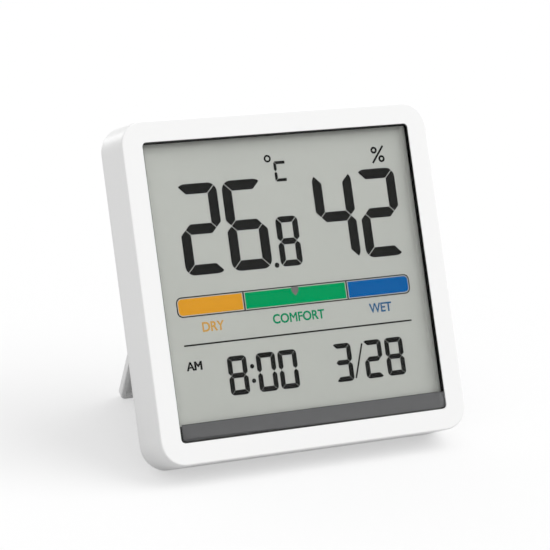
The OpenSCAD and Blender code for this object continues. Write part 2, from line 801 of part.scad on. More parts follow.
// Sprung band round the cell's rim, with a soldered foot at each end
module battery_positive_clip() {
    band_r = cell_d / 2 + cell_gap;
    color("silver") posed() translate([0, cell_y, 0]) {
        arc_band(band_r, band_r + contact_t, cell_back + contact_t, board_back, clip_span, 90);
        for (s = [-1, 1])
            arc_band(band_r + contact_t / 2, band_r + foot_w, board_back - contact_t, board_back,
                     foot_span, 90 + s * (clip_span - foot_span) / 2);
    }
}

// Leaf across the hole in the board, with a raised dimple under the cell
module battery_negative_spring() {
    leaf_l = cell_d + 2 * leaf_reach;
    color("goldenrod") posed() translate([0, cell_y, 0]) {
        slab(-leaf_l / 2, -contact_w / 2, leaf_l / 2, contact_w / 2, board_front, board_front + contact_t);
        translate([0, 0, cell_front]) cylinder(r = dimple_r, h = board_front - cell_front);
    }
}

// Lug of the hatch: a neck up from its plate, and a tongue out over the recess's floor
module hatch_lug() {
    inner_r = hatch_r - lug_reach;
    neck_r = hatch_r - hatch_gap;
    foot = recess_d + floor_t / 2;
    tongue = floor_z + hatch_gap;
    rotate([0, 0, -lug_span / 2]) rotate_extrude(angle = lug_span)
        polygon([
            [inner_r, foot],
            [neck_r, foot],
            [neck_r, tongue],
            [lug_r, tongue],
            [lug_r, tongue + lug_t],
            [inner_r, tongue + lug_t]
        ]);
}

// Round hatch flush with the recess's floor, held by two lugs under its edge
module battery_cover() {
    color("white") posed() translate([0, cell_y, 0]) {
        difference() {
            translate([0, 0, recess_d]) cylinder(r = hatch_r, h = floor_t);
            translate([0, 0, recess_d - over]) linear_extrude(slot_d + over) stadium(slot_l, slot_w);
        }
        for (a = [0, 180]) rotate([0, 0, a]) hatch_lug();
    }
}

// Plate of the stand: soft edges on its sides and foot, round corners at the foot
module stand_plate() {
    foot = hinge_up - stand_l + stand_corner_r;
    side = stand_w / 2 - stand_corner_r;
    translate([0, hinge_up, 0]) rotate([90, 0, 0]) linear_extrude(hinge_up - foot)
        translate([0, stand_t / 2]) rounded_outline(stand_w, stand_t, stand_edge_r);
    translate([0, foot, 0]) rotate([90, 0, 90]) linear_extrude(2 * side, center = true)
        mirror([1, 0]) edge_section(stand_corner_r, stand_t, stand_edge_r);
    for (m = [0, 1]) mirror([m, 0]) translate([side, foot, 0]) rotate([0, 0, -90])
        rotate_extrude(angle = 90) edge_section(stand_corner_r, stand_t, stand_edge_r);
}

module folded_stand() {
    difference() {
        union() {
            stand_plate();
            translate([0, hinge_up, hinge_z]) rotate([0, 90, 0]) {
                cylinder(r = hinge_z, h = stand_w - 2 * stand_edge_r, center = true);
                cylinder(r = pivot_r, h = recess_w + 2 * (pivot_l - pivot_gap), center = true);
            }
            for (x = [-1, 1]) translate([x * tab_reach, hinge_up, hinge_z])
                slab(-tab_w / 2, -hinge_z, tab_w / 2, tab_l, 0, hinge_z);
        }
        slab(stand_rim - stand_w / 2, hinge_up - stand_l + stand_rim, stand_w / 2 - stand_rim,
             hinge_up - stand_land, stand_panel, stand_t + over);
    }
}

module stand() {
    color("white") difference() {
        posed() opened() folded_stand();
        below_table();
    }
}

front_housing();
rear_cover();
display_lens();
lens_mask_strip();
lens_adhesive();
lcd_shroud();
lcd_front_polarizer();
lcd_front_glass();
lcd_rear_glass();
lcd_rear_polarizer();
zebra_connector();
circuit_board();
board_screws();
controller_chip();
clock_crystal();
humidity_sensor();
board_components();
tact_switches();
mode_button();
up_button();
down_button();
coin_cell();
battery_positive_clip();
battery_negative_spring();
battery_cover();
stand();
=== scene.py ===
import json
import math

import bpy
from mathutils import Matrix, Quaternion, Vector


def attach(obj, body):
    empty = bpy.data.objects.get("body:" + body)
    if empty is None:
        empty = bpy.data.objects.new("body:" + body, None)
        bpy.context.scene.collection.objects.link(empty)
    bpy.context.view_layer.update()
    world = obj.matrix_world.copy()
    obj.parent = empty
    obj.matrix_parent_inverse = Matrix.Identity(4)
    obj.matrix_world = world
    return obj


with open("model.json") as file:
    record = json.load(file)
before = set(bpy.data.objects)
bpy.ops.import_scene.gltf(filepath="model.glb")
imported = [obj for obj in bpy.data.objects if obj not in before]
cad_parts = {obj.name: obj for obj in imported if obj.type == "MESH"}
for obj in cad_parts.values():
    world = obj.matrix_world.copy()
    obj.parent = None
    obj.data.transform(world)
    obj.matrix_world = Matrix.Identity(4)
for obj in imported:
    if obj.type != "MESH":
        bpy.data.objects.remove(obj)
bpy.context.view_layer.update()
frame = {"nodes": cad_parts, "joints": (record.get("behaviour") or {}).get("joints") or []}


# Rear cover
# Snap-on back of the case: white ABS, injection moulded with the stand's recess, vents and button holes.
# Hooks round its rim click into the front housing, so no screw shows from outside.
ABS_WHITE = (0.879, 0.879, 0.8765, 1)
ABS_FLOW = (0.874, 0.874, 0.8710, 1)
ABS_GRAINS = 5200
ABS_GLOSSY, ABS_DULL = 0.278, 0.338
ABS_RELIEF = 0.000008
GRAIN_STRENGTH = 0.5
FLOW_MARKS = 55


def add_node(tree, kind, **sockets):
    """A shader node with its sockets set by name."""
    made = tree.nodes.new(kind)
    for socket, value in sockets.items():
        made.inputs[socket.replace("_", " ")].default_value = value
    return made


def new_group(name, inputs, outputs):
    """An empty node group with named sockets: the group, what it is given and what it puts out."""
    group = bpy.data.node_groups.new(name, "ShaderNodeTree")
    for socket, kind in inputs.items():
        group.interface.new_socket(socket, in_out="INPUT", socket_type=f"NodeSocket{kind}")
    for socket, kind in outputs.items():
        group.interface.new_socket(socket, in_out="OUTPUT", socket_type=f"NodeSocket{kind}")
    return group, group.nodes.new("NodeGroupInput").outputs, group.nodes.new("NodeGroupOutput").inputs


def place_group(tree, group, place, **values):
    """Places a node group in a material with its own values, and gives its outputs."""
    placed = tree.nodes.new("ShaderNodeGroup")
    placed.node_tree = group
    for socket, value in values.items():
        placed.inputs[socket].default_value = value
    tree.links.new(place, placed.inputs["Vector"])
    return placed.outputs


def make_grain():
    """Surface of a moulded part: slow flow marks from filling the mould, and its fine spark-eroded grain."""
    group, given, result = new_group("moulded_grain", {"Vector": "Vector", "Grains": "Float"},
                                     {"Flow": "Float", "Height": "Float"})
    flow = add_node(group, "ShaderNodeTexNoise", Scale=FLOW_MARKS, Detail=3, Roughness=0.55, Distortion=0.6)
    grain = add_node(group, "ShaderNodeTexNoise", Detail=2, Roughness=0.6)
    group.links.new(given["Vector"], flow.inputs["Vector"])
    group.links.new(given["Vector"], grain.inputs["Vector"])
    group.links.new(given["Grains"], grain.inputs["Scale"])
    group.links.new(flow.outputs["Fac"], result["Flow"])
    group.links.new(grain.outputs["Fac"], result["Height"])
    return group


moulded_grain = make_grain()


def new_material(name):
    """An empty finish: its node tree, its main shader and the object coordinates that its patterns read."""
    material = bpy.data.materials.new(name)
    material.use_nodes = True
    tree = material.node_tree
    place = tree.nodes.new("ShaderNodeTexCoord").outputs["Object"]
    return material, tree, tree.nodes["Principled BSDF"], place


def blend_colours(tree, share, first, second, target):
    """Feeds a colour socket with a mix of two colours, by a share that changes over the surface."""
    mix = tree.nodes.new("ShaderNodeMix")
    mix.data_type = "RGBA"
    mix.inputs["A"].default_value = first
    mix.inputs["B"].default_value = second
    tree.links.new(share, mix.inputs["Factor"])
    tree.links.new(mix.outputs["Result"], target)
    return mix


def spread(tree, share, low, high, target):
    """Feeds a value socket with a share stretched between two values."""
    ramp = add_node(tree, "ShaderNodeMapRange", To_Min=low, To_Max=high)
    tree.links.new(share, ramp.inputs["Value"])
    tree.links.new(ramp.outputs["Result"], target)


def emboss(tree, height, relief, strength, shader):
    """Presses a height pattern into a surface, with its real depth in metres."""
    bump = add_node(tree, "ShaderNodeBump", Strength=strength, Distance=relief)
    tree.links.new(height, bump.inputs["Height"])
    tree.links.new(bump.outputs["Normal"], shader.inputs["Normal"])


def moulded_plastic(name, colour, flow_colour, grains, glossy, dull, relief):
    """Moulded plastic with flow marks in its colour and gloss, and a fine grain in its relief."""
    material, tree, plastic, place = new_material(name)
    grain = place_group(tree, moulded_grain, place, Grains=grains)
    blend_colours(tree, grain["Flow"], colour, flow_colour, plastic.inputs["Base Color"])
    spread(tree, grain["Flow"], glossy, dull, plastic.inputs["Roughness"])
    emboss(tree, grain["Height"], relief, GRAIN_STRENGTH, plastic)
    return material


def dress(node, material):
    """Gives a CAD node its finish."""
    slots = frame["nodes"][node].data.materials
    slots.clear()
    slots.append(material)


white_abs = moulded_plastic("white_abs", ABS_WHITE, ABS_FLOW, ABS_GRAINS, ABS_GLOSSY, ABS_DULL, ABS_RELIEF)
dress("rear_cover", white_abs)


# Push buttons
# Three loose caps of the same white ABS that drop into the rear cover from inside and stop on their flanges.
# Each has a raised mark moulded on top: a dot for the mode, and triangles for up and down.
MARK_HIGH = 0.12
MARK_R = 1.15
MARK_DRAFT = 0.88
ROUND_SIDES, TRIANGLE_SIDES = 32, 3
BUTTON_MARKS = (("mode_button", ROUND_SIDES, 0), ("up_button", TRIANGLE_SIDES, 0),
                ("down_button", TRIANGLE_SIDES, math.pi))
MM = 0.001

out = Vector(next(j["axis"] for j in frame["joints"] if j["child"] == "up_button")).normalized()
right = Vector((1, 0, 0))
up = out.cross(right)
device_axes = Matrix((right, up, out))


def extent(node):
    """Lowest and highest corner of a CAD node along the device's axes: right, up the face, out of it."""
    points = [device_axes @ point.co for point in frame["nodes"][node].data.vertices]
    low = Vector(min(p[i] for p in points) for i in range(3))
    high = Vector(max(p[i] for p in points) for i in range(3))
    return low, high


def sheet_on(x_axis, y_axis, z_axis, origin):
    """Matrix that lays a flat drawing in millimetres onto a plane of the device."""
    turn = Matrix((x_axis, y_axis, z_axis)).transposed().to_4x4()
    return Matrix.Translation(device_axes.transposed() @ origin) @ turn @ Matrix.Scale(MM, 4)


def begin(name, primitive, **sizes):
    """Starts a piece from one primitive and opens it in edit mode, all selected."""
    bpy.ops.object.select_all(action="DESELECT")
    primitive(**sizes)
    piece = bpy.context.active_object
    piece.name = name
    piece.data.name = name
    bpy.ops.object.mode_set(mode="EDIT")
    return piece


def raise_by(height):
    """Extrudes what is selected straight up."""
    bpy.ops.mesh.extrude_region_move(TRANSFORM_OT_translate={"value": (0, 0, height)})


def close_piece():
    """Turns all faces outwards and leaves edit mode."""
    bpy.ops.mesh.select_all(action="SELECT")
    bpy.ops.mesh.normals_make_consistent(inside=False)
    bpy.ops.object.mode_set(mode="OBJECT")


def apply_place(piece):
    """Puts a drawing's place into its mesh."""
    bpy.ops.object.select_all(action="DESELECT")
    piece.select_set(True)
    bpy.context.view_layer.objects.active = piece
    bpy.ops.object.transform_apply(location=True, rotation=True, scale=True)


def fasten(piece, plane, body, material):
    """Lays a finished drawing on its plane, gives it its finish and lets it ride on a body."""
    piece.matrix_world = plane
    apply_place(piece)
    piece.data.materials.clear()
    piece.data.materials.append(material)
    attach(piece, body)


def back_of(node):
    """Plane on the back of a node, at its middle, as seen from behind."""
    low, high = extent(node)
    middle = (low + high) / 2
    return sheet_on(-right, up, -out, Vector((middle.x, middle.y, low.z)))


for button, sides, turn in BUTTON_MARKS:
    dress(button, white_abs)
    mark = begin(f"{button}_mark", bpy.ops.mesh.primitive_circle_add, vertices=sides, radius=MARK_R,
                 fill_type="NGON")
    bpy.ops.transform.rotate(value=turn, orient_axis="Z", center_override=(0, 0, 0))
    raise_by(MARK_HIGH)
    bpy.ops.transform.resize(value=(MARK_DRAFT, MARK_DRAFT, 1), center_override=(0, 0, 0))
    close_piece()
    fasten(mark, back_of(button), button, white_abs)


# Circuit board and its screws
# Green glass-epoxy board that carries everything electrical, with paler copper tracks under its solder mask.
# Four small plated screws hold it on the rear cover's posts.
MASK_GREEN = (0.012, 0.110, 0.042, 1)
TRACK_GREEN = (0.030, 0.190, 0.080, 1)
TRACKS_PER_METRE = 260
TRACK_RELIEF = 0.00003
ROLLING_STRETCH = (1, 14, 14)
STEEL = (0.62, 0.62, 0.63, 1)
STEEL_DARK = (0.50, 0.50, 0.51, 1)


def board_finish():
    """Solder mask over right-angled copper tracks."""
    material, tree, board, place = new_material("solder_mask")
    tracks = add_node(tree, "ShaderNodeTexBrick", Scale=TRACKS_PER_METRE, Mortar_Size=0.06, Bias=-0.2)
    tree.links.new(place, tracks.inputs["Vector"])
    blend_colours(tree, tracks.outputs["Fac"], MASK_GREEN, TRACK_GREEN, board.inputs["Base Color"])
    spread(tree, tracks.outputs["Fac"], 0.32, 0.24, board.inputs["Roughness"])
    emboss(tree, tracks.outputs["Fac"], relief=TRACK_RELIEF, strength=0.4, shader=board)
    return material


def bright_metal(name, colour, dark, streaks, glossy, dull):
    """Plated sheet metal with the fine streaks that rolling leaves."""
    material, tree, metal, place = new_material(name)
    metal.inputs["Metallic"].default_value = 1
    stretch = tree.nodes.new("ShaderNodeMapping")
    stretch.inputs["Scale"].default_value = ROLLING_STRETCH
    streak = add_node(tree, "ShaderNodeTexNoise", Scale=streaks, Detail=3)
    tree.links.new(place, stretch.inputs["Vector"])
    tree.links.new(stretch.outputs["Vector"], streak.inputs["Vector"])
    blend_colours(tree, streak.outputs["Fac"], colour, dark, metal.inputs["Base Color"])
    spread(tree, streak.outputs["Fac"], glossy, dull, metal.inputs["Roughness"])
    return material


plated_steel = bright_metal("plated_steel", STEEL, STEEL_DARK, streaks=400, glossy=0.22, dull=0.36)
dress("circuit_board", board_finish())
dress("board_screws", plated_steel)


# Parts on the board
# Controller under a glob of black epoxy, watch crystal in a steel can, sensor behind the vents, ceramic chips
# and the three switches under the buttons, all soldered to the side of the board that faces the rear cover.
EPOXY = (0.010, 0.010, 0.012, 1)
EPOXY_WORN = (0.018, 0.018, 0.020, 1)
CERAMIC = (0.50, 0.38, 0.24, 1)
CERAMIC_DARK = (0.38, 0.28, 0.17, 1)

black_epoxy = moulded_plastic("black_epoxy", EPOXY, EPOXY_WORN, grains=2600, glossy=0.22, dull=0.40,
                              relief=0.000012)
fired_ceramic = moulded_plastic("fired_ceramic", CERAMIC, CERAMIC_DARK, grains=6000, glossy=0.45, dull=0.60,
                                relief=0.000006)
dress("controller_chip", black_epoxy)
dress("humidity_sensor", black_epoxy)
dress("clock_crystal", plated_steel)
dress("tact_switches", plated_steel)
dress("board_components", fired_ceramic)


# Coin cell and its contacts
# A standard 20 mm cell of drawn sheet steel, polished by the press, lies in a hole of the board.
# A sprung steel clip grips its rim, and a brass leaf presses on its cap.
BRASS = (0.80, 0.60, 0.28, 1)
BRASS_DARK = (0.66, 0.47, 0.20, 1)

drawn_steel = bright_metal("drawn_steel", STEEL, STEEL_DARK, streaks=250, glossy=0.18, dull=0.30)
spring_brass = bright_metal("spring_brass", BRASS, BRASS_DARK, streaks=400, glossy=0.24, dull=0.38)
dress("coin_cell", drawn_steel)
dress("battery_positive_clip", plated_steel)
dress("battery_negative_spring", spring_brass)


# Battery hatch
# Round ABS plate that turns with a coin. Two lugs under its edge lock behind the recess's floor.
# A raised arrow shows which way it opens, and its pointer moves from the solid dot to the ring on the floor.
ARROW_R, ARROW_W, ARROW_HEAD = 8.6, 0.55, 0.95
ARROW_FROM, ARROW_SPAN = math.radians(124), math.radians(48)
SPIN_STEPS, MERGE_WITHIN = 16, 0.001
HATCH_POINTER_R, HATCH_POINTER_W, HATCH_POINTER_L = 10.9, 0.5, 1.2
DOT_R, DOT_RING, DOT_REACH = 0.55, 0.22, 13.6


def join_as(name, pieces):
    """Joins finished drawings into one piece."""
    bpy.ops.object.select_all(action="DESELECT")
    for piece in pieces:
        piece.select_set(True)
    bpy.context.view_layer.objects.active = pieces[0]
    if len(pieces) > 1:
        bpy.ops.object.join()
    pieces[0].name = name
    pieces[0].data.name = name
    return pieces[0]


def flat_bar(name, left, low, right_end, high):
    """A flat rectangle between two corners, open in edit mode."""
    piece = begin(name, bpy.ops.mesh.primitive_plane_add, size=1)
    bpy.ops.transform.resize(value=(right_end - left, high - low, 1), center_override=(0, 0, 0))
    bpy.ops.transform.translate(value=((left + right_end) / 2, (low + high) / 2, 0))
    return piece


def disc(name, x, y, radius, sides=ROUND_SIDES):
    """A flat disc, open in edit mode."""
    return begin(name, bpy.ops.mesh.primitive_circle_add, vertices=sides, radius=radius,
                 fill_type="NGON", location=(x, y, 0))


def open_middle(border):
    """Leaves only a border of what is selected."""
    bpy.ops.mesh.inset(thickness=border, use_even_offset=True)
    bpy.ops.mesh.delete(type="FACE")
    bpy.ops.mesh.select_all(action="SELECT")


def lift(height):
    """Gives a flat drawing its thickness and closes it."""
    bpy.ops.mesh.select_all(action="SELECT")
    raise_by(height)
    close_piece()


dress("battery_cover", white_abs)
hatch_turn = math.radians(next(j["range_deg"][1] for j in frame["joints"] if j["child"] == "battery_cover"))

arc = begin("hatch_arrow_arc", bpy.ops.mesh.primitive_plane_add, size=1)
bpy.ops.mesh.delete(type="ONLY_FACE")
bpy.ops.object.mode_set(mode="OBJECT")
for point, side in zip(arc.data.vertices, (-1, 1, -1, 1)):
    radius = ARROW_R + side * ARROW_W / 2
    point.co = (radius * math.cos(ARROW_FROM), radius * math.sin(ARROW_FROM), 0)
bpy.ops.object.mode_set(mode="EDIT")
bpy.ops.mesh.select_all(action="SELECT")
bpy.ops.mesh.remove_doubles(threshold=MERGE_WITHIN)
bpy.ops.mesh.spin(steps=SPIN_STEPS, angle=ARROW_SPAN, center=(0, 0, 0), axis=(0, 0, 1))
lift(MARK_HIGH)
head_at = ARROW_FROM + ARROW_SPAN
head = disc("hatch_arrow_head", 0, 0, ARROW_HEAD, TRIANGLE_SIDES)
lift(MARK_HIGH)
head.rotation_euler.z = head_at
head.location = (ARROW_R * math.cos(head_at), ARROW_R * math.sin(head_at), 0)
apply_place(head)
pointer = flat_bar("hatch_pointer", -HATCH_POINTER_W / 2, HATCH_POINTER_R - HATCH_POINTER_L,
                   HATCH_POINTER_W / 2, HATCH_POINTER_R)
lift(MARK_HIGH)
fasten(join_as("hatch_marks", [arc, head, pointer]), back_of("battery_cover"), "battery_cover",
       white_abs)

closed_dot = disc("hatch_closed_dot", 0, DOT_REACH, DOT_R)
lift(MARK_HIGH)
open_dot = disc("hatch_open_ring", -DOT_REACH * math.sin(hatch_turn), DOT_REACH * math.cos(hatch_turn), DOT_R)
open_middle(DOT_RING)
lift(MARK_HIGH)
apply_place(closed_dot)
apply_place(open_dot)
fasten(join_as("hatch_dots", [closed_dot, open_dot]), back_of("battery_cover"), "case",
       white_abs)


# Display
# A reflective liquid-crystal cell: two glass sheets between polarizers, fed by a striped silicone connector.
# The rear polarizer is backed with a brushed foil, which gives the display its even grey-green.
LCD_GREY = (0.462, 0.470, 0.444, 1)
LCD_FAINT = (0.402, 0.409, 0.386, 1)
# Painted light: the lighter colour the display film takes toward the lens's right edge, and how far in it
# reaches.
LCD_PAINTED_LIGHT, PAINTED_LIGHT_REACH = (0.80, 0.815, 0.77, 1), 1.3
LCD_SHEEN = 0.1
SPECKLES, SPECKLE_SHARE = 4200, 0.12
GLASS_TINT = (0.93, 0.97, 0.95, 1)
GLASS_EDGE = (0.86, 0.94, 0.90, 1)
GLASS_IOR = 1.52
SILICONE = (0.70, 0.35, 0.40, 1)
CARBON = (0.02, 0.02, 0.02, 1)
STRIPES_PER_METRE = 1200


def make_slope():
    """Slope over a piece: a share that grows from 0 to 1 between two places along an axis."""
    inputs = {"Vector": "Vector", "Axis": "Vector", "Start": "Float", "End": "Float"}
    group, given, result = new_group("slope", inputs, {"Share": "Float"})
    along = group.nodes.new("ShaderNodeVectorMath")
    along.operation = "DOT_PRODUCT"
    ramp = group.nodes.new("ShaderNodeMapRange")
    group.links.new(given["Vector"], along.inputs[0])
    group.links.new(given["Axis"], along.inputs[1])
    group.links.new(along.outputs["Value"], ramp.inputs["Value"])
    group.links.new(given["Start"], ramp.inputs["From Min"])
    group.links.new(given["End"], ramp.inputs["From Max"])
    group.links.new(ramp.outputs["Result"], result["Share"])
    return group


slope = make_slope()


def polarizer_film(node):
    """Matt film over a brushed reflector: a fine speckle, and a tone that falls off to the lower right."""
    material, tree, film, place = new_material("polarizer_film")
    low, high = extent(node)
    corner = device_axes.transposed() @ Vector((low.x, high.y, high.z))
    across = device_axes.transposed() @ Vector((high.x - low.x, 2 * (low.y - high.y), 0))
    axis = across.normalized()
    start = axis.dot(corner)
    fall = place_group(tree, slope, place, Axis=axis, Start=start, End=start + across.length)
    speckle = add_node(tree, "ShaderNodeTexNoise", Scale=SPECKLES, Detail=1, Roughness=0.5)
    tone = tree.nodes.new("ShaderNodeMath")
    tone.operation = "MULTIPLY_ADD"
    tone.inputs[1].default_value = SPECKLE_SHARE
    tree.links.new(place, speckle.inputs["Vector"])
    tree.links.new(speckle.outputs["Fac"], tone.inputs[0])
    tree.links.new(fall["Share"], tone.inputs[2])
    blend_colours(tree, tone.outputs["Value"], LCD_GREY, LCD_FAINT, film.inputs["Base Color"])
    spread(tree, speckle.outputs["Fac"], 0.50, 0.60, film.inputs["Roughness"])
    film.inputs["Specular IOR Level"].default_value = LCD_SHEEN
    return material


def paint_edge_light(material, axis, edge, reach, painted_light):
    """Paints light into the colour of what lies behind the lens toward one edge, in place of the light that
    the polished lens edge throws back.
    """
    tree = material.node_tree
    base = tree.nodes["Principled BSDF"].inputs["Base Color"]
    plain = base.links[0].from_socket
    place = tree.nodes["Texture Coordinate"].outputs["Object"]
    rim = place_group(tree, slope, place, Axis=axis, Start=edge - reach, End=edge)
    mix = blend_colours(tree, rim["Share"], painted_light, painted_light, base)
    tree.links.new(plain, mix.inputs["A"])


def clear_sheet(name, tint, edge_tint, ior):
    """Clear sheet that lets light through to what lies behind it, uneven in tint and polish by a trace."""
    material, tree, sheet, place = new_material(name)
    sheet.inputs["Transmission Weight"].default_value = 1
    sheet.inputs["IOR"].default_value = ior
    wipe = add_node(tree, "ShaderNodeTexNoise", Scale=70, Detail=3, Distortion=0.8)
    tree.links.new(place, wipe.inputs["Vector"])
    blend_colours(tree, wipe.outputs["Fac"], tint, edge_tint, sheet.inputs["Base Color"])
    spread(tree, wipe.outputs["Fac"], 0.0, 0.03, sheet.inputs["Roughness"])
    path = tree.nodes.new("ShaderNodeLightPath")
    lamp = add_node(tree, "ShaderNodeBsdfTransparent", Color=tint)
    pick = tree.nodes.new("ShaderNodeMixShader")
    tree.links.new(path.outputs["Is Shadow Ray"], pick.inputs["Fac"])
    tree.links.new(sheet.outputs["BSDF"], pick.inputs[1])
    tree.links.new(lamp.outputs["BSDF"], pick.inputs[2])
    tree.links.new(pick.outputs["Shader"], tree.nodes["Material Output"].inputs["Surface"])
    return material


def striped_silicone():
    """Layers of pink insulating and black conducting silicone, many to the millimetre."""
    material, tree, strip, place = new_material("striped_silicone")
    stripes = add_node(tree, "ShaderNodeTexWave", Scale=STRIPES_PER_METRE)
    tree.links.new(place, stripes.inputs["Vector"])
    blend_colours(tree, stripes.outputs["Fac"], SILICONE, CARBON, strip.inputs["Base Color"])
    spread(tree, stripes.outputs["Fac"], 0.55, 0.75, strip.inputs["Roughness"])
    return material


reflector_film = polarizer_film("lcd_front_polarizer")
face_low, face_high = extent("display_lens")
# Painted light: the display film is lighter toward the lens's right edge.
paint_edge_light(reflector_film, right, face_high.x, PAINTED_LIGHT_REACH * MM, LCD_PAINTED_LIGHT)
cell_glass = clear_sheet("cell_glass", GLASS_TINT, GLASS_EDGE, GLASS_IOR)
dress("zebra_connector", striped_silicone())
dress("lcd_rear_polarizer", reflector_film)
dress("lcd_rear_glass", cell_glass)
dress("lcd_front_glass", cell_glass)
dress("lcd_front_polarizer", reflector_film)


# Figures on the display
# Seven-bar figures of liquid crystal, dark where they are driven: temperature, humidity, time and date.
# All figures of one size share one mask of bars, parted by hair-thin gaps where the electrodes end.
FILM = 0.02
LIT = (0.0116, 0.0116, 0.0112, 1)
LIT_FAINT = (0.0148, 0.0148, 0.0143, 1)
BARS_OF = {"0": "abcdef", "2": "abged", "3": "abgcd", "4": "fgbc", "6": "afgecd", "8": "abcdefg",
           "C": "afed"}
INK_GRAINS, INK_RELIEF = 3000, 0.000002
INK_SMOOTH, INK_DULL = 0.5, 0.62
BAR_STEPS = 6

BIG_W, BIG_H, BIG_BAR, BIG_ROUND, BIG_GAP = 9.85, 20.11, 2.29, 2.2, 0.16
BIG_Y = 13.15
SMALL_W, SMALL_H, SMALL_BAR, SMALL_ROUND, SMALL_GAP = 5.47, 11.2, 1.4, 1.3, 0.13
SMALL_Y = 8.66
CLOCK_W, CLOCK_H, CLOCK_BAR, CLOCK_ROUND, CLOCK_GAP = 4.62, 8.58, 1.13, 1.0, 0.06
CLOCK_Y = -19.57
UNIT_W, UNIT_H, UNIT_BAR, UNIT_ROUND, UNIT_GAP = 3.9, 4.6, 0.68, 0.55, 0.09
UNIT_X, UNIT_Y, UNIT_END = 0.66, 24.37, 0.85


def ink(name, colour, faint):
    """Matt film or screen ink: nearly even, and without a sheen of its own behind the lens."""
    material = moulded_plastic(name, colour, faint, INK_GRAINS, INK_SMOOTH, INK_DULL, INK_RELIEF)
    material.node_tree.nodes["Principled BSDF"].inputs["Specular IOR Level"].default_value = 0
    return material


lit_crystal = ink("lit_crystal", LIT, LIT_FAINT)

film_front = extent("lcd_front_polarizer")[1].z + FILM / 2 * MM
display_plane = sheet_on(right, up, out, Vector((0, (face_low.y + face_high.y) / 2, film_front)))


def trim(x, y, toward_x, toward_y):
    """Cuts a flat drawing along a line through a point, and drops what lies on the given side."""
    bpy.ops.mesh.select_all(action="SELECT")
    bpy.ops.mesh.bisect(plane_co=(x, y, 0), plane_no=(toward_x, toward_y, 0), clear_outer=True)


def bar_mask(width, height, bar, corner, gap, square_end=None):
    """The seven bars of a figure round its middle, cut from one rounded outline along its diagonals."""
    half_w, half_h = width / 2, height / 2
    part = gap / 2 * math.sqrt(0.5)
    tip = half_w - bar / 2
    bars = {}

    def outline(letter):
        piece = flat_bar(f"bar_{letter}", -half_w, -half_h, half_w, half_h)
        bpy.ops.mesh.bevel(offset=corner, segments=BAR_STEPS, affect="VERTICES")
        bars[letter] = piece

    for letter, y in (("a", 1), ("d", -1)):
        outline(letter)
        trim(0, y * (half_h - bar), 0, -y)
        for x in (-1, 1):
            trim(x * (half_w - part), y * (half_h + part), x, -y)
        if square_end is not None:
            trim(square_end, 0, 1, 0)
        lift(FILM)
    for letter, x, y in (("f", -1, 1), ("b", 1, 1), ("e", -1, -1), ("c", 1, -1)):
        outline(letter)
        trim(x * (half_w - bar), 0, -x, 0)
        trim(x * (half_w + part), y * (half_h - part), -x, y)
        trim(x * (tip + part), y * part, -x, -y)
        trim(x * (tip - part), y * part, x, -y)
        lift(FILM)
    outline("g")
    for y in (-1, 1):
        trim(0, y * bar / 2, 0, y)
        for x in (-1, 1):
            trim(x * (tip - part), -y * part, x, y)
    lift(FILM)
    return bars


def figures(name, bars, readings):
    """One reading on the display: copies of the bars that each figure lights, joined."""
    lit = []
    for figure, x, y in readings:
        for letter in BARS_OF[figure]:
            copy = bars[letter].copy()
            copy.data = bars[letter].data.copy()
            copy.data.transform(Matrix.Translation((x, y, 0)))
            bpy.context.scene.collection.objects.link(copy)
            lit.append(copy)
    for bar in bars.values():
        bpy.data.objects.remove(bar)
    return join_as(name, lit)


def on_display(piece, material):
    """Lays a drawing on the front polarizer."""
    fasten(piece, display_plane, "case", material)


big_readings = [("2", -20.74, BIG_Y), ("6", -9.67, BIG_Y), ("4", 12.52, BIG_Y), ("2", 23.67, BIG_Y)]
big_mask = bar_mask(BIG_W, BIG_H, BIG_BAR, BIG_ROUND, BIG_GAP)
on_display(figures("main_figures", big_mask, big_readings), lit_crystal)
small_mask = bar_mask(SMALL_W, SMALL_H, SMALL_BAR, SMALL_ROUND, SMALL_GAP)
on_display(figures("tenths_figure", small_mask, [("8", 0, SMALL_Y)]), lit_crystal)
clock_readings = [("8", -16.55, CLOCK_Y), ("0", -9.59, CLOCK_Y), ("0", -4.33, CLOCK_Y),
                  ("3", 9.23, CLOCK_Y), ("2", 16.94, CLOCK_Y), ("8", 22.41, CLOCK_Y)]
clock_mask = bar_mask(CLOCK_W, CLOCK_H, CLOCK_BAR, CLOCK_ROUND, CLOCK_GAP)
on_display(figures("clock_figures", clock_mask, clock_readings), lit_crystal)
unit_mask = bar_mask(UNIT_W, UNIT_H, UNIT_BAR, UNIT_ROUND, UNIT_GAP, UNIT_END)
on_display(figures("unit_letter", unit_mask, [("C", UNIT_X, UNIT_Y)]), lit_crystal)


# Points and signs on the display
# Decimal point, colon, degree ring, percent sign and the stroke of the date, driven like the figures.
POINT_AT, POINT_R = (-3.73, 3.55), 0.58
COLON_X, COLON_YS, COLON_R = -13.04, (-17.97, -21.17), 0.5
DEGREE_AT, DEGREE_R, DEGREE_LINE = (-2.59, 27.37), 0.86, 0.42
PERCENT_RINGS, PERCENT_R, PERCENT_LINE = ((24.25, 27.4), (25.97, 25.33)), 0.80, 0.46
PERCENT_STROKE = ((23.62, 24.48), (26.67, 28.27))
DATE_STROKE, DATE_LINE = ((11.92, -23.38), (14.48, -15.82)), 0.4
STROKE_GREY = (0.018, 0.018, 0.017, 1)
STROKE_FAINT = (0.026, 0.026, 0.024, 1)


def dot(name, x, y, radius):
    """A filled dot of film."""
    piece = disc(name, x, y, radius)
    lift(FILM)
    apply_place(piece)
    return piece


def ring(name, x, y, radius, line):
    """A ring of film."""
    piece = disc(name, x, y, radius)
    open_middle(line)
    lift(FILM)
    apply_place(piece)
    return piece


def stroke(name, start, end, line):
    """A straight line of film between two points."""
    length = math.dist(start, end)
    piece = flat_bar(name, -length / 2, -line / 2, length / 2, line / 2)
    lift(FILM)
    piece.rotation_euler.z = math.atan2(end[1] - start[1], end[0] - start[0])
    piece.location = ((start[0] + end[0]) / 2, (start[1] + end[1]) / 2, 0)
    apply_place(piece)
    return piece


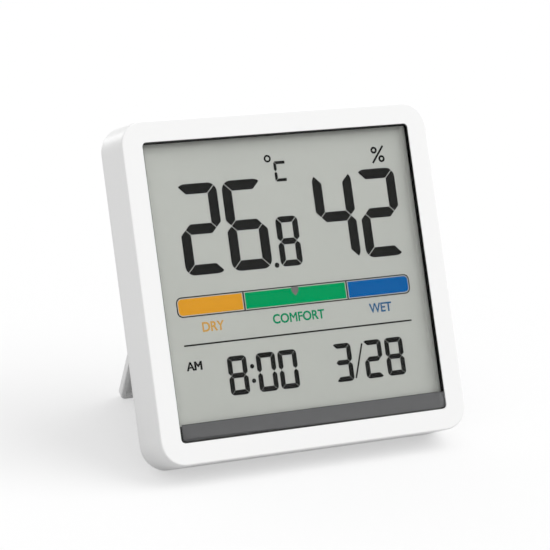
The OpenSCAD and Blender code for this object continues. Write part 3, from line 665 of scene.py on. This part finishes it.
signs = [dot("decimal_point", *POINT_AT, POINT_R), ring("degree_ring", *DEGREE_AT, DEGREE_R, DEGREE_LINE)]
signs += [dot(f"colon_{i}", COLON_X, y, COLON_R) for i, y in enumerate(COLON_YS)]
signs += [ring(f"percent_ring_{i}", *at, PERCENT_R, PERCENT_LINE) for i, at in enumerate(PERCENT_RINGS)]
signs.append(stroke("percent_stroke", *PERCENT_STROKE, PERCENT_LINE))
on_display(join_as("display_signs", signs), lit_crystal)
grey_print = ink("grey_print", STROKE_GREY, STROKE_FAINT)
on_display(stroke("date_stroke", *DATE_STROKE, DATE_LINE), grey_print)


# Comfort scale
# A bar in three colours, screen printed on the cell, with a thin grey outline and dividers.
# A small grey triangle is the one part of it that is driven, and points at the present range.
SCALE_LEFT, SCALE_RIGHT, SCALE_TOP, SCALE_LOW = -29.02, 28.66, -1.33, -5.82
SCALE_LINE, SCALE_ROUND, SCALE_INSET = 0.27, 1.35, 0.45
SCALE_DIVIDERS = (-12.86, 12.64)
DIVIDER_LINE, DIVIDER_GAP = 0.34, 0.36
FIELD_STEPS, BORDER_STEPS = 5, 6
MARKER_X, MARKER_HALF, MARKER_TIP, MARKER_THICK = -0.20, 0.85, -3.60, 2 * FILM
ORANGE, ORANGE_FAINT = (0.655, 0.295, 0.022, 1), (0.630, 0.281, 0.020, 1)
GREEN, GREEN_FAINT = (0.0, 0.290, 0.095, 1), (0.0, 0.276, 0.090, 1)
BLUE, BLUE_FAINT = (0.004, 0.103, 0.335, 1), (0.004, 0.097, 0.320, 1)
OUTLINE, OUTLINE_FAINT = (0.034, 0.034, 0.032, 1), (0.044, 0.044, 0.042, 1)
MARKER_GREY, MARKER_FAINT = (0.150, 0.150, 0.146, 1), (0.166, 0.166, 0.161, 1)


def pick_points(piece, wanted):
    """Selects the points of a piece whose place passes a test."""
    bpy.ops.mesh.select_all(action="DESELECT")
    bpy.ops.object.mode_set(mode="OBJECT")
    for point in piece.data.vertices:
        point.select = wanted(point.co)
    bpy.ops.object.mode_set(mode="EDIT")


inks = {"orange": ink("orange_ink", ORANGE, ORANGE_FAINT), "green": ink("green_ink", GREEN, GREEN_FAINT),
        "blue": ink("blue_ink", BLUE, BLUE_FAINT)}
outline_ink = ink("outline_ink", OUTLINE, OUTLINE_FAINT)
fields = (("orange", SCALE_LEFT + SCALE_INSET, SCALE_DIVIDERS[0] - DIVIDER_GAP, -1),
          ("green", SCALE_DIVIDERS[0] + DIVIDER_GAP, SCALE_DIVIDERS[1] - DIVIDER_GAP, 0),
          ("blue", SCALE_DIVIDERS[1] + DIVIDER_GAP, SCALE_RIGHT - SCALE_INSET, 1))
for colour, left_end, right_end, rounded in fields:
    field = flat_bar(f"scale_{colour}", left_end, SCALE_LOW + SCALE_INSET,
                     right_end, SCALE_TOP - SCALE_INSET)
    if rounded:
        middle = (left_end + right_end) / 2
        pick_points(field, lambda at: (at.x - middle) * rounded > 0)
        bpy.ops.mesh.bevel(offset=SCALE_ROUND - SCALE_INSET, segments=FIELD_STEPS, affect="VERTICES")
    lift(FILM)
    on_display(field, inks[colour])

border = flat_bar("scale_border", SCALE_LEFT, SCALE_LOW, SCALE_RIGHT, SCALE_TOP)
bpy.ops.mesh.bevel(offset=SCALE_ROUND, segments=BORDER_STEPS, affect="VERTICES")
bpy.ops.mesh.select_all(action="SELECT")
open_middle(SCALE_LINE)
lift(FILM)
lines = [border]
for x in SCALE_DIVIDERS:
    lines.append(flat_bar("scale_divider", x - DIVIDER_LINE / 2, SCALE_LOW + SCALE_LINE,
                          x + DIVIDER_LINE / 2, SCALE_TOP - SCALE_LINE))
    lift(FILM)
on_display(join_as("scale_outline", lines), outline_ink)

marker_top = SCALE_TOP - SCALE_LINE
marker = flat_bar("scale_marker", MARKER_X - MARKER_HALF, MARKER_TIP, MARKER_X + MARKER_HALF, marker_top)
for side in (-1, 1):
    trim(MARKER_X, MARKER_TIP, side * (marker_top - MARKER_TIP), -MARKER_HALF)
lift(MARKER_THICK)
on_display(marker, ink("marker_grey", MARKER_GREY, MARKER_FAINT))


# Words and rule on the display
# Plain capitals name the three ranges in their own colours and the half of the day in black.
# A thin rule parts the readings from the time and date.
WORD_TOP, WORD_LOW = -7.25, -9.25
WORDS = (("DRY", -23.51, -18.4, (0.56, 0.31, 0.070, 1)), ("COMFORT", -6.44, 6.19, (0.004, 0.238, 0.104, 1)),
         ("WET", 17.67, 23.21, (0.028, 0.104, 0.225, 1)))
WORD_FADE = 0.92
HALF_DAY = ("AM", -28.41, -24.92, -17.29, -15.59)
WORD_WEIGHT, HALF_DAY_WEIGHT = 0.11, 0.21
RULE_LEFT, RULE_RIGHT, RULE_Y, RULE_LINE = -28.42, 27.87, -11.92, 0.36


def word(name, letters, left, low, right_end, top, weight):
    """A word in film, fitted between two corners and made bolder."""
    bpy.ops.object.select_all(action="DESELECT")
    bpy.ops.object.text_add()
    bpy.context.active_object.data.body = letters
    bpy.ops.object.convert(target="MESH")
    piece = bpy.context.active_object
    piece.name = name
    piece.data.name = name
    xs = [point.co.x for point in piece.data.vertices]
    ys = [point.co.y for point in piece.data.vertices]
    wide, tall = max(xs) - min(xs), max(ys) - min(ys)
    fit = Matrix.Diagonal(((right_end - left) / wide, (top - low) / tall, 1, 1))
    to_zero = Matrix.Translation((-min(xs), -min(ys), 0))
    piece.data.transform(Matrix.Translation((left, low, 0)) @ fit @ to_zero)
    bpy.ops.object.mode_set(mode="EDIT")
    lift(FILM)
    bpy.ops.object.mode_set(mode="EDIT")
    bpy.ops.mesh.select_all(action="SELECT")
    bpy.ops.transform.shrink_fatten(value=weight)
    bpy.ops.object.mode_set(mode="OBJECT")
    for point in piece.data.vertices:
        point.co.z = FILM if point.co.z > FILM / 2 else 0
    return piece


for letters, left_end, right_end, colour in WORDS:
    faded = (*(part * WORD_FADE for part in colour[:3]), 1)
    range_name = letters.lower()
    range_word = word(f"word_{range_name}", letters, left_end, WORD_LOW, right_end, WORD_TOP, WORD_WEIGHT)
    on_display(range_word, ink(f"ink_{range_name}", colour, faded))
letters, left_end, right_end, low, top = HALF_DAY
on_display(word("word_half_day", letters, left_end, low, right_end, top, HALF_DAY_WEIGHT), lit_crystal)
rule = flat_bar("display_rule", RULE_LEFT, RULE_Y - RULE_LINE / 2, RULE_RIGHT, RULE_Y + RULE_LINE / 2)
lift(FILM)
on_display(rule, grey_print)


# Shroud, glue line, printed strip and lens
# A black frame holds the display. The clear acrylic lens is glued to it by a black line and printed dark grey
# along its lower edge. Its coating leaves an eighth of the usual reflection, so it has a coated lens's index.
BLACK, BLACK_WORN = (0.008, 0.008, 0.009, 1), (0.013, 0.013, 0.014, 1)
GLUE, GLUE_WORN = (0.004, 0.004, 0.004, 1), (0.007, 0.007, 0.007, 1)
# Painted light: the lighter colour of the glue line toward the lens's top and bottom edges, and how far in it
# reaches.
GLUE_PAINTED_LIGHT, GLUE_LIGHT_REACH = (0.075, 0.075, 0.074, 1), 0.7
STRIP_GREY, STRIP_FAINT = (0.133, 0.133, 0.136, 1), (0.123, 0.123, 0.126, 1)
# Painted light: the lighter colour of the grey strip toward the lens's right edge.
STRIP_PAINTED_LIGHT = (0.24, 0.24, 0.246, 1)
ACRYLIC, ACRYLIC_FAINT = (0.985, 0.99, 0.985, 1), (0.975, 0.982, 0.976, 1)
# Width of a painted shade line along the grey strip's top edge.
STRIP_SHADE_LINE = 0.1
COATED_IOR = 1.13

black_abs = moulded_plastic("black_abs", BLACK, BLACK_WORN, ABS_GRAINS, glossy=0.5, dull=0.62, relief=0.00001)
dress("lcd_shroud", black_abs)
black_glue = ink("black_glue", GLUE, GLUE_WORN)
# Painted light: the black glue line is lighter toward the lens's top and bottom edges.
paint_edge_light(black_glue, up, face_high.y, GLUE_LIGHT_REACH * MM, GLUE_PAINTED_LIGHT)
paint_edge_light(black_glue, -up, -face_low.y, GLUE_LIGHT_REACH * MM, GLUE_PAINTED_LIGHT)
dress("lens_adhesive", black_glue)
strip_ink = ink("strip_ink", STRIP_GREY, STRIP_FAINT)
# Painted light: the grey strip is lighter toward the lens's right edge.
paint_edge_light(strip_ink, right, face_high.x, PAINTED_LIGHT_REACH * MM, STRIP_PAINTED_LIGHT)
dress("lens_mask_strip", strip_ink)
strip_low, strip_high = extent("lens_mask_strip")
strip_plane = sheet_on(right, up, out, Vector((0, strip_high.y, strip_high.z - FILM * MM)))
# Painted shade: a thin black film along the top edge of the grey strip, where the strip's edge shades the
# display.
painted_shade_line = flat_bar("strip_painted_shade", strip_low.x / MM, 0, strip_high.x / MM, STRIP_SHADE_LINE)
lift(FILM)
fasten(painted_shade_line, strip_plane, "case", ink("strip_shade_ink", LIT, LIT_FAINT))
dress("display_lens", clear_sheet("coated_acrylic", ACRYLIC, ACRYLIC_FAINT, COATED_IOR))


# Front housing
# White ABS shell in one piece: a flat bezel, and side walls that spread to the back to leave the mould.
# It snaps over the rear cover, and its bezel holds the lens flush.
dress("front_housing", white_abs)


# Stand
# White ABS flap, moulded as a shallow tray so that it stays flat. It turns on two pivots in the rear cover
# and opens until its tabs meet their stops. Folded, it lies flush in the recess.
dress("stand", white_abs)


# Table and light
# A pale table under a soft lamp from the upper right, with even light from all round. A low lamp behind shows
# only as a gleam on edges. What the camera sees past the object is white, and the table keeps its shadow.
FLOOR_SIZE = 8
FLOOR_WHITE = (0.82, 0.82, 0.82, 1)
FLOOR_BOUNCE = (0.52, 0.52, 0.52, 1)
FLOOR_LIFT = 0.5
FLOOR_MATT = 0.9
SKY_LIGHT = 0.82
KEY_FROM, KEY_LIGHT, KEY_SOFT = Vector((0.58, -0.22, 0.78)), 1.62, math.radians(50)
GLEAM_FROM, GLEAM_LIGHT, GLEAM_SOFT = Vector((-0.31, 0.95, 0.03)), 0.46, math.radians(31)


def seen_directly(tree):
    """1 where the camera sees a surface itself, or in a reflection or through glass."""
    path = tree.nodes.new("ShaderNodeLightPath")
    total = path.outputs["Is Camera Ray"]
    for ray in ("Is Glossy Ray", "Is Transmission Ray"):
        either = tree.nodes.new("ShaderNodeMath")
        either.operation = "MAXIMUM"
        tree.links.new(total, either.inputs[0])
        tree.links.new(path.outputs[ray], either.inputs[1])
        total = either.outputs["Value"]
    first = tree.nodes.new("ShaderNodeMath")
    first.operation = "SUBTRACT"
    first.use_clamp = True
    tree.links.new(total, first.inputs[0])
    tree.links.new(path.outputs["Diffuse Depth"], first.inputs[1])
    return first.outputs["Value"]


bpy.ops.object.select_all(action="DESELECT")
bpy.ops.mesh.primitive_plane_add(size=FLOOR_SIZE)
floor = bpy.context.active_object
floor.name = "table"
paint, paint_tree, paint_shader, _ = new_material("table_white")
seen = seen_directly(paint_tree)
blend_colours(paint_tree, seen, FLOOR_BOUNCE, FLOOR_WHITE, paint_shader.inputs["Base Color"])
paint_shader.inputs["Roughness"].default_value = FLOOR_MATT
paint_shader.inputs["Specular IOR Level"].default_value = 0
white = add_node(paint_tree, "ShaderNodeEmission", Color=(1, 1, 1, 1), Strength=1)
lifted = paint_tree.nodes.new("ShaderNodeMixShader")
lift_share = paint_tree.nodes.new("ShaderNodeMath")
lift_share.operation = "MULTIPLY"
lift_share.inputs[1].default_value = FLOOR_LIFT
paint_tree.links.new(seen, lift_share.inputs[0])
paint_tree.links.new(lift_share.outputs["Value"], lifted.inputs["Fac"])
paint_tree.links.new(paint_shader.outputs["BSDF"], lifted.inputs[1])
paint_tree.links.new(white.outputs["Emission"], lifted.inputs[2])
paint_tree.links.new(lifted.outputs["Shader"], paint_tree.nodes["Material Output"].inputs["Surface"])
floor.data.materials.append(paint)

sky = bpy.data.worlds.new("studio")
bpy.context.scene.world = sky
sky.use_nodes = True
glow = sky.node_tree.nodes["Background"]
glow.inputs["Color"].default_value = (1, 1, 1, 1)
level = add_node(sky.node_tree, "ShaderNodeMapRange", To_Min=SKY_LIGHT, To_Max=1)
sky.node_tree.links.new(seen_directly(sky.node_tree), level.inputs["Value"])
sky.node_tree.links.new(level.outputs["Result"], glow.inputs["Strength"])


def hang_lamp(name, come_from, light, soft):
    """A soft lamp far away, whose light comes from one direction."""
    lamp = bpy.data.lights.new(name, "SUN")
    lamp.energy = light
    lamp.angle = soft
    hung = bpy.data.objects.new(name, lamp)
    hung.rotation_mode = "QUATERNION"
    hung.rotation_quaternion = come_from.to_track_quat("Z", "Y")
    bpy.context.scene.collection.objects.link(hung)
    return hung


hang_lamp("key", KEY_FROM, KEY_LIGHT, KEY_SOFT)
gleam = hang_lamp("gleam", GLEAM_FROM, GLEAM_LIGHT, GLEAM_SOFT)
gleam.visible_diffuse = False


# Camera
# Stands to the front left, a little above the device and slightly tilted, with a long lens.
CAMERA_AZIMUTH = math.radians(-27.019)
CAMERA_ELEVATION = math.radians(18.741)
CAMERA_ROLL = math.radians(3.435)
CAMERA_DISTANCE = 0.51471
CAMERA_LENS, CAMERA_SENSOR = 153.13, 36
AIM_RIGHT, AIM_UP = -0.00545, 0.00129

toward_camera = Vector((math.sin(CAMERA_AZIMUTH) * math.cos(CAMERA_ELEVATION),
                        -math.cos(CAMERA_AZIMUTH) * math.cos(CAMERA_ELEVATION),
                        math.sin(CAMERA_ELEVATION)))
front = extent("front_housing")[1].z
aim = device_axes.transposed() @ Vector((AIM_RIGHT, (face_low.y + face_high.y) / 2 + AIM_UP, front))
camera_data = bpy.data.cameras.new("photo_view")
camera_data.lens = CAMERA_LENS
camera_data.sensor_width = CAMERA_SENSOR
camera = bpy.data.objects.new("photo_view", camera_data)
camera.location = aim + toward_camera * CAMERA_DISTANCE
camera.rotation_mode = "QUATERNION"
camera.rotation_quaternion = (-toward_camera).to_track_quat("-Z", "Y") @ Quaternion((0, 0, 1), CAMERA_ROLL)
bpy.context.scene.collection.objects.link(camera)
bpy.context.scene.camera = camera
bpy.context.scene.view_settings.view_transform = "Standard"
